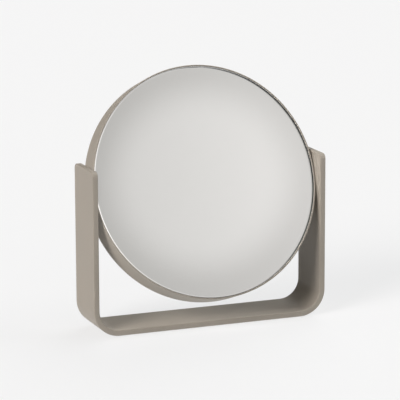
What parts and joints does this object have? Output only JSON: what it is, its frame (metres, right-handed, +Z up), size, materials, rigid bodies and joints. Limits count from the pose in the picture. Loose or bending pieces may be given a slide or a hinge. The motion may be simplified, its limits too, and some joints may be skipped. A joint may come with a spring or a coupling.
{
  "type": "tabletop vanity mirror",
  "caption": "Round double-sided vanity mirror, flat in front and magnifying behind, in a deep ring that tilts between the arms of a U-shaped strap stand.",
  "frame": {"origin": "on the surface that the feet stand on, below the middle of the stand", "axes": "+X to the viewer's right, along the tilt axis; +Y away from the viewer; +Z up"},
  "size_m": [0.19, 0.081, 0.197],
  "materials": {
    "powder_coat": "satin taupe powder coat",
    "mirror_glass": "silvered float glass with a polished edge",
    "foam": "closed-cell foam",
    "pivot_steel": "zinc-plated steel",
    "brass_insert": "plain turned brass",
    "pivot_plastic": "natural acetal",
    "foot_rubber": "matte silicone rubber"
  },
  "bodies": {
    "stand": {"stand_strap": "powder_coat", "foot_front_left": "foot_rubber", "foot_front_right": "foot_rubber", "foot_rear_left": "foot_rubber", "foot_rear_right": "foot_rubber", "left_pivot_insert": "brass_insert", "left_pivot_screw": "pivot_steel", "left_wave_washer": "pivot_steel", "left_thrust_washer": "pivot_steel", "right_pivot_insert": "brass_insert", "right_pivot_screw": "pivot_steel", "right_wave_washer": "pivot_steel", "right_thrust_washer": "pivot_steel"},
    "mirror": {"ring_band": "powder_coat", "front_glass": "mirror_glass", "front_bond_ring": "foam", "magnifying_glass": "mirror_glass", "rear_bond_ring": "foam", "foam_spacer": "foam", "left_pivot_bush": "pivot_plastic", "left_friction_washer": "pivot_plastic", "right_pivot_bush": "pivot_plastic", "right_friction_washer": "pivot_plastic"}
  },
  "joints": [
    {"name": "mirror_tilt", "type": "hinge", "parent": "stand", "child": "mirror", "pos_m": [0, 0, 0.10851], "axis": [1, 0, 0], "continuous": true}
  ]
}
